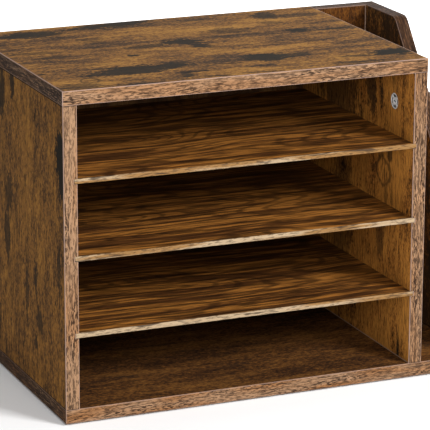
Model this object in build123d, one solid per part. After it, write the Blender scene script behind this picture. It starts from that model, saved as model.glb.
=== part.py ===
from build123d import *
import os

# Desk organizer of flat-pack construction, in millimetres.
# A four-tier paper cabinet and two stepped file bays stand on one shared base board.
# +X runs to the user's right, +Y to the back and +Z up. The origin is the centre of the
# footprint, on the surface that the foot pads stand on.

# ---------------------------------------------------------------- driving dimensions
BOARD = 12.7  # melamine-faced particle board, faces included
BAND = 1.0  # edging glued round the boards
ARRIS = 0.4  # trimmed corner of the edging
CABINET_WIDTH = 345.0  # over both side panels
DEPTH = 250.0
TIERS = 4
TIER_HEIGHT = 64.5  # clear height of each tier
SHELF = 4.5  # thickness of the thin sliding shelves
BACK_SHEET = 3.0  # thickness of the cabinet's thin back
BAY_WIDTH = 54.0  # clear width of each file bay
LOW_BAY_RISE = 200.0  # height of the low bay above the underside of the base board
DIVIDER_TOP_LENGTH = 75.0  # level top of the tall divider, from its back edge
SLOPE_RISE = 73.0  # where the sloping edges meet the front, above the same underside
BEND_RADIUS = 12.0  # bends of the dividers' edging
PAD_THICKNESS = 1.5
PAD_RADIUS = 9.0
PAD_INSET = 18.0

# Grooves and fits
GROOVE_DEPTH = 3.0
GROOVE_PLAY = 0.15  # above and below a shelf in its groove
SHEET_PLAY = 0.2  # behind the back sheet in its groove
BACK_SHEET_INSET = 10.0  # from the boards' back edges to the back sheet
END_PLAY = 0.3  # at each end of a shelf, and behind it
FIT = 0.05  # radial clearance of dowels, bolts, cams and screws in their holes

# Cam fasteners
CAM_RADIUS = 7.5
CAM_DEPTH = 9.8
CAM_PLATE = 2.8  # solid thickness behind the cam's face
CAM_POCKET_DEPTH = 10.0
CAM_SINK = 0.1  # face of the cam below the board's face
BORE_RADIUS = 3.5  # hole along the board for the bolt
BOLT_RADIUS = 2.9  # thread in the other board
BOLT_THREAD = 8.0
PILOT_DEPTH = 9.0
TOP_CAM_DROP = 34.0  # cam axis below the joint with the top board
BAY_CAM_DROP = 24.0  # cam axis beside the joints of a bay's back
FASTENER_INSET = 40.0  # top cams and base screws, from the front and back edges

# Dowels
DOWEL_RADIUS = 3.0
DOWEL_IN_FACE = 9.0
DOWEL_IN_EDGE = 16.0
DOWEL_END_PLAY = 0.5
DOWEL_INSET = 72.0  # from the front and back edges

# Screws up through the base board
SCREW_LENGTH = 40.0
SCREW_RADIUS = 2.0
SCREW_HEAD_RADIUS = 4.0
SCREW_HEAD_HEIGHT = 2.4
SCREW_SINK = 0.2  # head below the underside

# ---------------------------------------------------------------- derived places
TOTAL_WIDTH = CABINET_WIDTH + 2 * (BAY_WIDTH + BOARD)
LEFT = -TOTAL_WIDTH / 2
RIGHT = TOTAL_WIDTH / 2
FRONT = -DEPTH / 2
BACK = DEPTH / 2
BASE_UNDER = PAD_THICKNESS
BASE_TOP = BASE_UNDER + BOARD
JOINT_Z = BASE_TOP + TIERS * TIER_HEIGHT + (TIERS - 1) * SHELF  # underside of the top board
TOP_Z = JOINT_Z + BOARD
LOW_TOP_Z = BASE_UNDER + LOW_BAY_RISE
SLOPE_Z = BASE_UNDER + SLOPE_RISE

# (low, high) pairs in X of the four uprights, and in Y of the thin back and the bays' backs
LEFT_PANEL = (LEFT, LEFT + BOARD)
RIGHT_PANEL = (LEFT + CABINET_WIDTH - BOARD, LEFT + CABINET_WIDTH)
TALL_DIVIDER = (RIGHT_PANEL[1] + BAY_WIDTH, RIGHT_PANEL[1] + BAY_WIDTH + BOARD)
LOW_END = (RIGHT - BOARD, RIGHT)
SHEET_Y = (BACK - BACK_SHEET_INSET - BACK_SHEET, BACK - BACK_SHEET_INSET)
BAY_BACK_Y = (BACK - BOARD, BACK)

# The low end's slope is parallel to the tall divider's and starts at the same place.
TALL_SLOPE_Y = BACK - DIVIDER_TOP_LENGTH
LOW_SLOPE_Y = FRONT + (LOW_TOP_Z - SLOPE_Z) * (TALL_SLOPE_Y - FRONT) / (TOP_Z - SLOPE_Z)


def middle(span):
    """Middle of a (low, high) pair."""
    return (span[0] + span[1]) / 2


UPRIGHTS = {
    "left_side_panel": middle(LEFT_PANEL),
    "right_side_panel": middle(RIGHT_PANEL),
    "tall_divider": middle(TALL_DIVIDER),
    "low_end_panel": middle(LOW_END),
}
# Each bay's back: the boards on its left and right, its top, and the heights above the base
# board of its dowels and of the cams at its left and right joints.
BAYS = {
    "tall_bay_back": {
        "between": ("right_side_panel", "tall_divider"),
        "span": (RIGHT_PANEL[1], TALL_DIVIDER[0]),
        "top": TOP_Z,
        "dowel_rises": (62.0, 198.0),
        "cam_rises": (255.0, 232.0),
    },
    "low_bay_back": {
        "between": ("tall_divider", "low_end_panel"),
        "span": (TALL_DIVIDER[1], LOW_END[0]),
        "top": LOW_TOP_Z,
        "dowel_rises": (46.0, 112.0),
        "cam_rises": (160.0, 137.0),
    },
}


# ---------------------------------------------------------------- simple shapes
def block(xs, ys, zs):
    """Box from three (low, high) pairs."""
    size = [span[1] - span[0] for span in (xs, ys, zs)]
    return Pos(middle(xs), middle(ys), middle(zs)) * Box(*size)


def rod(radius, start, end):
    """Round rod between two points."""
    start, end = Vector(start), Vector(end)
    axis = end - start
    return Plane(origin=start + axis / 2, z_dir=axis) * Cylinder(radius, axis.length)


def turned(profile):
    """Solid turned about the Z axis, from (radius, height) points."""
    return revolve(make_face(Plane.XZ * Polyline(*profile, close=True)), Axis.Z)


def same(a, b):
    """Whether two coordinates are equal."""
    return abs(a - b) < 1e-6


# ---------------------------------------------------------------- banded boards
def rectangular_board(spans, thin_axis, sides):
    """Core and edging strips of a rectangular board.

    spans holds the (low, high) pairs in X, Y and Z, thin_axis is the axis of the board's
    thickness, and sides lists the banded sides as (axis, end), where end 0 is the low one.
    The outer corners of the edging are trimmed.
    """

    def is_trimmed(edge):
        centre = tuple(edge.center())
        on_bands = sum(same(centre[axis], spans[axis][end]) for axis, end in sides)
        on_faces = sum(same(centre[thin_axis], limit) for limit in spans[thin_axis])
        return on_bands == 2 or (on_bands == 1 and on_faces == 1)

    whole = block(*spans)
    core = chamfer([edge for edge in whole.edges() if is_trimmed(edge)], ARRIS)
    strips = []
    for axis, end in sides:
        low, high = spans[axis]
        region = list(spans)
        region[axis] = (high - BAND, high) if end else (low, low + BAND)
        strips.append(core & block(*region))
        core = core - block(*region)
    return core, strips


def sloping_board(span, top_z, slope_y):
    """Core and edging of an upright whose front slopes back from SLOPE_Z to a level top.

    One length of edging wraps over the front, the slope and the top. The back has its own.
    """
    below = BASE_TOP - 2 * BAND
    corners = [(FRONT, below), (FRONT, SLOPE_Z), (slope_y, top_z), (BACK, top_z), (BACK, below)]
    outline = make_face(Polyline(*corners, close=True))
    bends = [outline.vertices().sort_by_distance(corner)[0] for corner in corners[1:3]]
    outline = fillet(bends, BEND_RADIUS)
    plane = Plane(origin=(span[0], 0, 0), x_dir=(0, 1, 0), z_dir=(1, 0, 0))
    above_base = block(span, (FRONT, BACK), (BASE_TOP, top_z))
    whole = extrude(plane * outline, BOARD) & above_base
    inside = extrude(plane * offset(outline, -BAND), BOARD) & above_base

    def is_trimmed(edge):
        centre = edge.center()
        on_face = same(centre.X, span[0]) or same(centre.X, span[1])
        return on_face and not same(centre.Z, BASE_TOP)

    whole = chamfer([edge for edge in whole.edges() if is_trimmed(edge)], ARRIS)
    back_region = block(span, (BACK - BAND, BACK), (BASE_TOP, top_z))
    edging = whole - inside
    return whole & inside, [edging - back_region, edging & back_region]


def make_boards():
    """(core, edging strips) of every thick board, by node name."""
    depth = (FRONT, BACK)
    cabinet = (LEFT, RIGHT_PANEL[1])
    upright = (BASE_TOP, JOINT_Z)
    front_and_back = [(1, 0), (1, 1)]
    all_round = front_and_back + [(0, 0), (0, 1)]
    boards = {
        "base_board": rectangular_board([(LEFT, RIGHT), depth, (BASE_UNDER, BASE_TOP)], 2, all_round),
        "top_board": rectangular_board([cabinet, depth, (JOINT_Z, TOP_Z)], 2, all_round),
        "left_side_panel": rectangular_board([LEFT_PANEL, depth, upright], 0, front_and_back),
        "right_side_panel": rectangular_board([RIGHT_PANEL, depth, upright], 0, front_and_back),
        "tall_divider": sloping_board(TALL_DIVIDER, TOP_Z, TALL_SLOPE_Y),
        "low_end_panel": sloping_board(LOW_END, LOW_TOP_Z, LOW_SLOPE_Y),
    }
    for name, bay in BAYS.items():
        spans = [bay["span"], BAY_BACK_Y, (BASE_TOP, bay["top"])]
        boards[name] = rectangular_board(spans, 1, [(2, 1)])
    return boards


# ---------------------------------------------------------------- grooves, shelves, thin back
def shelf_heights():
    """(low, high) of each thin shelf, lowest first."""
    step = TIER_HEIGHT + SHELF
    lows = [BASE_TOP + TIER_HEIGHT + step * i for i in range(TIERS - 1)]
    return [(low, low + SHELF) for low in lows]


def cut_grooves(cuts):
    """Add the grooves for the shelves and the thin back to each board's cutters."""
    sheet_groove_y = (SHEET_Y[0], SHEET_Y[1] + SHEET_PLAY)
    insides = {
        "left_side_panel": (LEFT_PANEL[1] - GROOVE_DEPTH, LEFT_PANEL[1]),
        "right_side_panel": (RIGHT_PANEL[0], RIGHT_PANEL[0] + GROOVE_DEPTH),
    }
    for name, xs in insides.items():
        for low, high in shelf_heights():
            cuts[name].append(block(xs, (FRONT, SHEET_Y[0]), (low - GROOVE_PLAY, high + GROOVE_PLAY)))
        cuts[name].append(block(xs, sheet_groove_y, (BASE_TOP, JOINT_Z)))
    across = (LEFT_PANEL[1] - GROOVE_DEPTH, RIGHT_PANEL[0] + GROOVE_DEPTH)
    cuts["base_board"].append(block(across, sheet_groove_y, (BASE_TOP - GROOVE_DEPTH, BASE_TOP)))
    cuts["top_board"].append(block(across, sheet_groove_y, (JOINT_Z, JOINT_Z + GROOVE_DEPTH)))


def thin_boards():
    """The three sliding shelves, with softened front edges, and the cabinet's thin back."""
    reach = GROOVE_DEPTH - END_PLAY
    across = (LEFT_PANEL[1] - reach, RIGHT_PANEL[0] + reach)
    nodes = {}
    for name, heights in zip(("lower_shelf", "middle_shelf", "upper_shelf"), shelf_heights()):
        shelf = block(across, (FRONT, SHEET_Y[0] - END_PLAY), heights)
        front_edges = shelf.faces().sort_by(Axis.Y)[0].edges().filter_by(Axis.X)
        nodes[name] = [fillet(front_edges, 0.6)]
    nodes["cabinet_back_sheet"] = [block(across, SHEET_Y, (BASE_TOP - reach, JOINT_Z + reach))]
    return nodes


# ---------------------------------------------------------------- dowels
def dowel_joints():
    """Dowel places by node, as (face-drilled board, edge-drilled board, point, way into the edge)."""
    ys = (FRONT + DOWEL_INSET, BACK - DOWEL_INSET)
    base = [("base_board", name, (x, y, BASE_TOP), (0, 0, 1)) for name, x in UPRIGHTS.items() for y in ys]
    top = [
        ("top_board", name, (UPRIGHTS[name], y, JOINT_Z), (0, 0, -1))
        for name in ("left_side_panel", "right_side_panel")
        for y in ys
    ]
    bay = []
    y = middle(BAY_BACK_Y)
    for name, made in BAYS.items():
        for share in (0.2, 0.8):
            x = made["span"][0] + share * BAY_WIDTH
            base.append(("base_board", name, (x, y, BASE_TOP), (0, 0, 1)))
        for rise in made["dowel_rises"]:
            z = BASE_TOP + rise
            bay.append((made["between"][0], name, (made["span"][0], y, z), (1, 0, 0)))
            bay.append((made["between"][1], name, (made["span"][1], y, z), (-1, 0, 0)))
    return {"base_dowels": base, "top_dowels": top, "bay_dowels": bay}


def dowels(cuts):
    """The dowels, grouped by node, with their holes added to the boards' cutters."""
    nodes = {}
    for node, joints in dowel_joints().items():
        nodes[node] = []
        for face_board, edge_board, point, into_edge in joints:
            point, into_edge = Vector(point), Vector(into_edge)
            start = point - into_edge * DOWEL_IN_FACE
            end = point + into_edge * DOWEL_IN_EDGE
            play = into_edge * DOWEL_END_PLAY
            pin = chamfer(rod(DOWEL_RADIUS, start, end).edges().filter_by(GeomType.CIRCLE), 0.6)
            hole = rod(DOWEL_RADIUS + FIT, start - play, end + play)
            nodes[node].append(pin)
            cuts[face_board].append(hole)
            cuts[edge_board].append(hole)
    return nodes


# ---------------------------------------------------------------- base screws
def screw_blank(grow):
    """Countersunk screw, head down at Z = 0, made larger all round by grow."""
    tip = SCREW_LENGTH + grow
    profile = [
        (0, -grow),
        (SCREW_HEAD_RADIUS + grow, -grow),
        (SCREW_HEAD_RADIUS + grow, 0.4),
        (SCREW_RADIUS + grow, SCREW_HEAD_HEIGHT),
        (SCREW_RADIUS + grow, tip - 4),
        (0, tip),
    ]
    return turned(profile)


def base_screws(cuts):
    """Screws up through the base board into every upright and both bay backs."""
    places = [(name, x, y) for name, x in UPRIGHTS.items() for y in (FRONT + FASTENER_INSET, BACK - FASTENER_INSET)]
    places += [(name, middle(bay["span"]), middle(BAY_BACK_Y)) for name, bay in BAYS.items()]
    screw = screw_blank(0)
    for turn in (45, 135):
        screw = screw - Pos(0, 0, 0.7) * Rot(0, 0, turn) * Box(4.4, 0.9, 1.4)
    mouth = rod(SCREW_HEAD_RADIUS + FIT, (0, 0, -SCREW_SINK - 1), (0, 0, 0))
    hole = screw_blank(FIT) + mouth
    for name, x, y in places:
        place = Pos(x, y, BASE_UNDER + SCREW_SINK)
        cuts["base_board"].append(place * hole)
        cuts[name].append(place * hole)
    return {"base_screws": [Pos(x, y, BASE_UNDER + SCREW_SINK) * screw for _, x, y in places]}


# ---------------------------------------------------------------- cam fasteners
# Both are made about the cam's axis: Z out of the board's face at Z = 0, Y towards the joint.
def cam_lock():
    """Cam with a ribbed face, a cross recess, and a hollow that draws the bolt in."""
    bolt_z = -BOARD / 2
    hollow_height = CAM_DEPTH - CAM_PLATE
    cam = rod(CAM_RADIUS, (0, 0, -CAM_DEPTH), (0, 0, -CAM_SINK))
    cam = chamfer(cam.edges().group_by(Axis.Z)[-1], 0.3)
    # Off-centre hollow for the bolt's head.
    cam -= Pos(0, -0.7, -CAM_PLATE - hollow_height / 2) * Cylinder(4.9, hollow_height)
    # Slot for the bolt's neck, round the wall from the entrance past the locked place.
    neck_slot = make_face(Plane.XZ * Pos(5.5, bolt_z) * Rectangle(7, 4.2))
    cam -= Rot(0, 0, -90) * revolve(neck_slot, Axis.Z, 220)
    # Entrance for the bolt's head, opposite the locked place.
    cam -= Pos(0, -5, -CAM_PLATE - hollow_height / 2) * Box(6.8, 6, hollow_height)
    # Four pockets between ribs, and the driver's cross recess in the middle.
    pockets = Cylinder(6.2, 2.0) - Cylinder(3.6, 2.0)
    for turn in (45, 135):
        pockets -= Rot(0, 0, turn) * Box(16, 1.8, 2.0)
    cam -= pockets
    for turn in (0, 90):
        cam -= Rot(0, 0, turn) * Box(5.4, 1.2, 4.0)
    return cam


def cam_bolt(drop):
    """Bolt with its head in the cam and its thread beyond a joint that is drop away."""
    profile = [
        (0, 1.4),
        (2.6, 1.4),
        (3.0, 1.8),
        (3.0, 2.6),
        (1.8, 4.4),
        (1.8, 8.2),
        (2.8, 9.0),
        (2.8, drop - 1.2),
        (3.3, drop - 1.2),
        (3.3, drop),
        (BOLT_RADIUS, drop),
        (BOLT_RADIUS, drop + BOLT_THREAD - 1),
        (0, drop + BOLT_THREAD),
    ]
    return Pos(0, 0, -BOARD / 2) * Rot(-90, 0, 0) * turned(profile)


def cam_places():
    """Cam places by group: (drilled board, board on the joint, axis point, out of face, to joint, drop)."""
    top = []
    for name, face_x, inward in (
        ("left_side_panel", LEFT_PANEL[1], (1, 0, 0)),
        ("right_side_panel", RIGHT_PANEL[0], (-1, 0, 0)),
    ):
        for y in (FRONT + FASTENER_INSET, BACK - FASTENER_INSET):
            point = (face_x, y, JOINT_Z - TOP_CAM_DROP)
            top.append((name, "top_board", point, inward, (0, 0, 1), TOP_CAM_DROP))
    bay = []
    for name, made in BAYS.items():
        for side, way in ((0, -1), (1, 1)):
            x = made["span"][side] - way * BAY_CAM_DROP
            point = (x, BACK, BASE_TOP + made["cam_rises"][side])
            bay.append((name, made["between"][side], point, (0, 1, 0), (way, 0, 0), BAY_CAM_DROP))
    return {"top": top, "bay": bay}


def cam_fasteners(cuts):
    """Cams and bolts of the top board and of the bays' backs, with their holes cut."""
    nodes = {}
    for group, places in cam_places().items():
        cams, bolts = [], []
        for cam_board, bolt_board, point, out_of_face, to_joint, drop in places:
            x_dir = Vector(to_joint).cross(Vector(out_of_face))
            plane = Plane(origin=point, x_dir=x_dir, z_dir=out_of_face)
            pocket = Pos(0, 0, -CAM_POCKET_DEPTH / 2) * Cylinder(CAM_RADIUS + FIT, CAM_POCKET_DEPTH)
            axis, joint = (0, 0, -BOARD / 2), (0, drop, -BOARD / 2)
            pilot_end = (0, drop + PILOT_DEPTH, -BOARD / 2)
            cuts[cam_board] += [plane * pocket, plane * rod(BORE_RADIUS, axis, joint)]
            cuts[bolt_board].append(plane * rod(BOLT_RADIUS + FIT, joint, pilot_end))
            cams.append(plane * cam_lock())
            bolts.append(plane * cam_bolt(drop))
        nodes[f"{group}_cam_locks"] = cams
        nodes[f"{group}_cam_bolts"] = bolts
    return nodes


# ---------------------------------------------------------------- foot pads
def foot_pads():
    """Thin round pads in two rows under the base board."""
    pad = Pos(0, 0, PAD_THICKNESS / 2) * Cylinder(PAD_RADIUS, PAD_THICKNESS)
    pad = fillet(pad.edges().group_by(Axis.Z)[0], 0.4)
    xs = (LEFT + PAD_INSET, middle(RIGHT_PANEL), RIGHT - PAD_INSET)
    ys = (FRONT + PAD_INSET, BACK - PAD_INSET)
    return {"foot_pads": [Pos(x, y, 0) * pad for x in xs for y in ys]}


# ---------------------------------------------------------------- the assembly
def build():
    """Every node's name with its list of separate solids."""
    boards = make_boards()
    cuts = {name: [] for name in boards}
    cut_grooves(cuts)
    nodes = {**thin_boards(), **dowels(cuts), **base_screws(cuts), **cam_fasteners(cuts), **foot_pads()}
    for name, (core, strips) in boards.items():
        nodes[name] = [core - cuts[name]]
        nodes[f"{name}_edging"] = [strip - cuts[name] for strip in strips]
    return nodes


def main():
    """Write one STEP file for each node."""
    os.makedirs("parts", exist_ok=True)
    for name, shapes in build().items():
        solids = [solid for shape in shapes for solid in shape.solids()]
        export_step(Compound(children=solids) if len(solids) > 1 else solids[0], f"parts/{name}.step")


if __name__ == "__main__":
    main()
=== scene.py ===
"""The looks of a rustic flat-pack desk organizer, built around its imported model.

Boards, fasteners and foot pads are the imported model's own pieces in new finishes. The edging and
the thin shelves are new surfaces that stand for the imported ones. Everything is in metres, with +X
to the user's right, +Y to the back and +Z up.
"""

import logging
import math
from collections.abc import Mapping, Sequence
from dataclasses import dataclass, replace
from enum import Enum

import bmesh
import bpy
import numpy as np
from mathutils import Matrix, Vector


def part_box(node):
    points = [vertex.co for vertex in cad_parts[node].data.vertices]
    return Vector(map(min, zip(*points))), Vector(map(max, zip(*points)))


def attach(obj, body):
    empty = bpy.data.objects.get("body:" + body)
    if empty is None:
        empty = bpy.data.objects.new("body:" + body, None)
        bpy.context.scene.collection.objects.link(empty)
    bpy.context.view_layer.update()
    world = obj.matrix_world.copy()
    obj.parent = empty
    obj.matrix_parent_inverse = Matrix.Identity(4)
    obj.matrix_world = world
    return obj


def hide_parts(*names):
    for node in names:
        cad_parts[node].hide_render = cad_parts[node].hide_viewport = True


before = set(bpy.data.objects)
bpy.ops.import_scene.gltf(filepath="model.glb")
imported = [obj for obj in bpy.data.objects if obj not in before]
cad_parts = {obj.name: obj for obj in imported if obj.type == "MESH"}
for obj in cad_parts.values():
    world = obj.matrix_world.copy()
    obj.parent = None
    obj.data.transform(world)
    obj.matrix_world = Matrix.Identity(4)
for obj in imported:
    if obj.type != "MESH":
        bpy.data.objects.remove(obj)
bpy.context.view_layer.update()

LOG = logging.getLogger("desk_organizer")
MM = 0.001
SHELVES = ("lower_shelf", "middle_shelf", "upper_shelf")
BAY_BOARDS = ("tall_divider", "low_end_panel", "tall_bay_back", "low_bay_back")
Colour = tuple[float, float, float, float]
Point = tuple[float, float, float]


def paint(red: int, green: int, blue: int) -> Colour:
    """Turns a display colour into the linear light that shaders use.

    Args:
        red: Red, 0 to 255.
        green: Green, 0 to 255.
        blue: Blue, 0 to 255.

    Returns:
        The linear colour, with full opacity.
    """
    shares = [channel / 255 for channel in (red, green, blue)]
    linear = [s / 12.92 if s <= 0.04045 else ((s + 0.055) / 1.055) ** 2.4 for s in shares]
    return (linear[0], linear[1], linear[2], 1.0)


# ---------------------------------------------------------------------------- shader arithmetic
class Value:
    """A number that varies over a surface, for use in ordinary arithmetic."""

    def __init__(self, graph: "Graph", socket: bpy.types.NodeSocket) -> None:
        """Wraps an output socket of the graph's tree."""
        self.graph = graph
        self.socket = socket

    def __add__(self, other: "Value | float") -> "Value":
        """This plus other."""
        return self.graph.math("ADD", self, other)

    def __sub__(self, other: "Value | float") -> "Value":
        """This less other."""
        return self.graph.math("SUBTRACT", self, other)

    def __rsub__(self, other: float) -> "Value":
        """Other less this."""
        return self.graph.math("SUBTRACT", other, self)

    def __mul__(self, other: "Value | float") -> "Value":
        """This times other."""
        return self.graph.math("MULTIPLY", self, other)

    __radd__ = __add__
    __rmul__ = __mul__


Input = Value | float | Sequence[float]


class Graph:
    """The node tree of one material."""

    def __init__(self, name: str) -> None:
        """Makes an empty material.

        Args:
            name: The material's name.
        """
        self.material = bpy.data.materials.new(name)
        self.material.use_nodes = True
        self.tree = self.material.node_tree
        self.tree.nodes.clear()

    def node(
        self,
        kind: str,
        settings: Mapping[str, object] | None = None,
        inputs: Mapping[str | int, Input] | None = None,
    ) -> bpy.types.Node:
        """Adds any node.

        Args:
            kind: The node's type.
            settings: Its own settings, which are set first. A ramp's stops are pairs of a
                position and a colour.
            inputs: What goes into its sockets, by name or number.

        Returns:
            The new node.
        """
        made = self.tree.nodes.new(kind)
        for name, setting in (settings or {}).items():
            if name == "stops":
                elements = made.color_ramp.elements
                while len(elements) < len(setting):
                    elements.new(1.0)
                for element, (position, colour) in zip(elements, setting):
                    element.position, element.color = position, colour
            else:
                setattr(made, name, setting)
        for key, value in (inputs or {}).items():
            if isinstance(value, Value):
                self.tree.links.new(value.socket, made.inputs[key])
            else:
                made.inputs[key].default_value = value
        return made

    def out(self, node: bpy.types.Node, key: str | int = 0) -> Value:
        """An output of a node as a value."""
        return Value(self, node.outputs[key])

    def math(self, operation: str, first: Value | float, second: Value | float = 0.0) -> Value:
        """The result of a Math node."""
        return self.out(self.node("ShaderNodeMath", {"operation": operation}, {0: first, 1: second}))

    def smooth(self, value: Value, low: float, high: float) -> Value:
        """A soft step between two values.

        Args:
            value: What is compared with them.
            low: Where the step is 0.
            high: Where it is 1, which may be the smaller of the two.

        Returns:
            The step, from 0 to 1.
        """
        first, last, start, end = (low, high, 0.0, 1.0) if low < high else (high, low, 1.0, 0.0)
        sockets = {"Value": value, "From Min": first, "From Max": last, "To Min": start, "To Max": end}
        return self.out(self.node("ShaderNodeMapRange", {"interpolation_type": "SMOOTHSTEP"}, sockets))

    def join(self, x: Value | float, y: Value | float, z: Value | float = 0.0) -> Value:
        """A vector from its three parts."""
        return self.out(self.node("ShaderNodeCombineXYZ", None, {0: x, 1: y, 2: z}))

    def split(self, vector: Value) -> list[Value]:
        """The three parts of a vector."""
        parted = self.node("ShaderNodeSeparateXYZ", None, {0: vector})
        return [self.out(parted, i) for i in range(3)]

    def object_place(self) -> list[Value]:
        """X, Y and Z of the surface in the piece's own frame."""
        return self.split(self.out(self.node("ShaderNodeTexCoord"), "Object"))

    def mix(self, share: Value | float, first: Value | Colour, second: Value | Colour) -> Value:
        """A colour that goes from first at 0 to second at 1."""
        made = self.node("ShaderNodeMix", {"data_type": "RGBA"}, {0: share, 6: first, 7: second})
        return self.out(made, 2)

    def ramp(self, share: Value, stops: Sequence[tuple[float, Colour]]) -> Value:
        """A colour picked along a ramp of stops."""
        return self.out(self.node("ShaderNodeValToRGB", {"stops": stops}, {0: share}))

    def noise(self, where: Value, detail: float, roughness: float = 0.55) -> Value:
        """Soft noise from 0 to 1, with features about one unit long."""
        sockets = {"Vector": where, "Scale": 1.0, "Detail": detail, "Roughness": roughness}
        return self.out(self.node("ShaderNodeTexNoise", {"noise_dimensions": "3D"}, sockets), "Fac")

    def finish(
        self,
        colour: Value | Colour,
        roughness: Value | float,
        height: Value | None = None,
        relief: float = 0.0,
        **fixed: float | Colour,
    ) -> bpy.types.Material:
        """Ends the tree in a Principled shader.

        Args:
            colour: The base colour.
            roughness: The roughness.
            height: Relief of the surface, 0 to 1, or None if it is smooth.
            relief: Depth of that relief, in metres.
            **fixed: Uniform values of the shader's other sockets, with _ for a space.

        Returns:
            The finished material.
        """
        sockets: dict[str | int, Input] = {"Base Color": colour, "Roughness": roughness}
        sockets.update({name.replace("_", " "): value for name, value in fixed.items()})
        if height is not None:
            settled = {"Height": height, "Strength": 1.0, "Distance": relief}
            sockets["Normal"] = self.out(self.node("ShaderNodeBump", None, settled))
        shader = self.node("ShaderNodeBsdfPrincipled", None, sockets)
        self.node("ShaderNodeOutputMaterial", None, {"Surface": self.out(shader)})
        return self.material


# ---------------------------------------------------------------------------- board finishes
class Lie(Enum):
    """How a board lies: its axes along the grain, across the grain and through its thickness."""

    LEVEL = (0, 1, 2)
    SIDE = (2, 1, 0)
    BACK = (2, 0, 1)


class Face(Enum):
    """Which face of a board carries a mark, with how far its print is moved, in metres.

    The move is across the grain, so the print is not the same on both faces.
    """

    LOW = 0.0
    HIGH = 0.75


@dataclass(frozen=True)
class Mark:
    """A dark mark in the print: its place and half sizes in millimetres, and how deep it prints."""

    along: float
    across: float
    half_length: float
    half_width: float
    turn: float = 0.0
    depth: float = 1.0
    face: Face = Face.HIGH

    def shade(self, graph: Graph, where: Value, ragged: Value, soft: float) -> Value:
        """How dark the mark prints.

        The distance from its middle, in half sizes, is made ragged and turned into a soft step at
        its outline.

        Args:
            graph: The material's graph.
            where: Place in the board's print.
            ragged: What roughens the outline, in half sizes.
            soft: Width of the step, in half sizes.

        Returns:
            Darkness, from 0 to the mark's depth.
        """
        sockets = {
            "Vector": where,
            "Location": (self.along * MM, self.across * MM + self.face.value, 0.0),
            "Rotation": (0.0, 0.0, math.radians(self.turn)),
            "Scale": (self.half_length * MM, self.half_width * MM, 1.0),
        }
        local = graph.out(graph.node("ShaderNodeMapping", {"vector_type": "TEXTURE"}, sockets))
        length = graph.node("ShaderNodeVectorMath", {"operation": "LENGTH"}, {0: local})
        distance = graph.out(length, "Value") + ragged
        return graph.smooth(distance, 1.0 + soft * 0.4, 1.0 - soft * 0.6) * self.depth


def darkest(graph: Graph, marks: tuple[Mark, ...], where: Value, ragged: Value, soft: float) -> Value:
    """The darkest of some marks at each place.

    Args:
        graph: The material's graph.
        marks: The marks, at least one.
        where: Place in the board's print.
        ragged: What roughens their outlines, in half sizes.
        soft: Width of the step at their outlines, in half sizes.

    Returns:
        Darkness, from 0 to the marks' greatest depth.
    """
    dark = marks[0].shade(graph, where, ragged, soft)
    for mark in marks[1:]:
        dark = graph.math("MAXIMUM", dark, mark.shade(graph, where, ragged, soft))
    return dark


@dataclass(frozen=True)
class JointLine:
    """A fine line where a board meets another: painted shade in the gap, or pale core at a chipped edge.

    It stands at one place along the grain if it runs crosswise, and else at one place across it.
    """

    at: float
    colour: Colour
    crosswise: bool = True
    width: float = 1.4 * MM


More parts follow.
